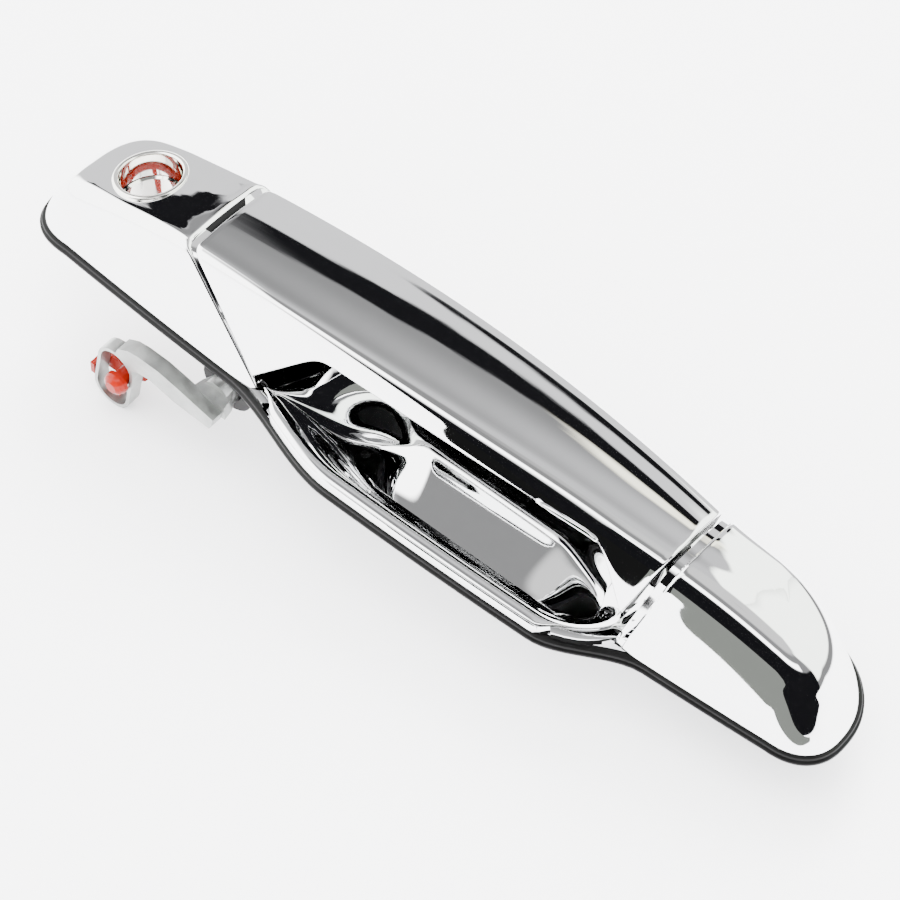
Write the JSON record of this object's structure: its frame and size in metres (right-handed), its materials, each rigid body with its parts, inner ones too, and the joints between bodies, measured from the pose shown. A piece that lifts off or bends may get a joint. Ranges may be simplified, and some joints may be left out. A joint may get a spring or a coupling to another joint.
{
  "type": "exterior car door handle",
  "caption": "Bright flap-type exterior car door handle with finger scoop, sprung paddle, lock bore, door gasket and bellcrank lever with rod clip.",
  "frame": {"origin": "on the gasket's underside, which rests on the door, midway along the rear edge of the handle", "axes": "+X along the handle from the lock end to the plain end, +Y towards the hinged upper side, +Z out of the door"},
  "size_m": [0.2629, 0.06, 0.0668],
  "materials": {
    "chrome": "mirror-bright plated plastic",
    "chrome_paddle": "mirror-bright plated plastic",
    "chrome_liner": "bright plated, slightly dulled inside the bore",
    "black_plastic": "glass-filled black plastic, fine moulded texture",
    "black_rubber": "satin black rubber",
    "cast_zinc": "die-cast zinc, satin skin with brighter edges",
    "zinc_plated_steel": "zinc-plated steel, semi-bright",
    "spring_steel": "drawn spring wire",
    "orange_plastic": "glossy orange-red moulded plastic"
  },
  "bodies": {
    "housing": {"housing": "chrome", "gasket": "black_rubber", "lock_sleeve": "chrome_liner", "lock_retainer": "orange_plastic", "stud_left": "zinc_plated_steel", "stud_right": "zinc_plated_steel", "bumper_left": "black_rubber", "bumper_right": "black_rubber", "paddle_spring": "spring_steel", "hinge_pin": "zinc_plated_steel", "hinge_clip_left": "spring_steel", "hinge_clip_right": "spring_steel", "lever_bush": "black_plastic", "lever_spring": "spring_steel"},
    "paddle": {"paddle_skin": "chrome_paddle", "paddle_carrier": "black_plastic", "carrier_screw_1": "zinc_plated_steel", "carrier_screw_2": "zinc_plated_steel", "carrier_screw_3": "zinc_plated_steel", "carrier_screw_4": "zinc_plated_steel"},
    "lever": {"bellcrank_lever": "cast_zinc", "lever_crank": "cast_zinc", "lever_clip": "spring_steel"},
    "rod_clip": {"rod_clip": "orange_plastic"}
  },
  "joints": [
    {"name": "paddle_hinge", "type": "hinge", "parent": "housing", "child": "paddle", "pos_m": [0, -0.0131, 0.0118], "axis": [-1, 0, 0], "range_deg": [0, 22], "stiffness_Nm_per_rad": 0.3, "springref_deg": -20.05},
    {"name": "lever_pivot", "type": "hinge", "parent": "housing", "child": "lever", "pos_m": [-0.062, -0.0279, -0.0112], "axis": [0, -1, 0], "range_deg": [0, 22.5]},
    {"name": "rod_clip_swivel", "type": "hinge", "parent": "lever", "child": "rod_clip", "pos_m": [-0.0906, -0.0499, -0.022], "axis": [0, 1, 0], "range_deg": [-3, 10]}
  ],
  "couplings": [
    {"joint": "lever_pivot", "follows": "paddle_hinge", "ratio": 1}
  ]
}
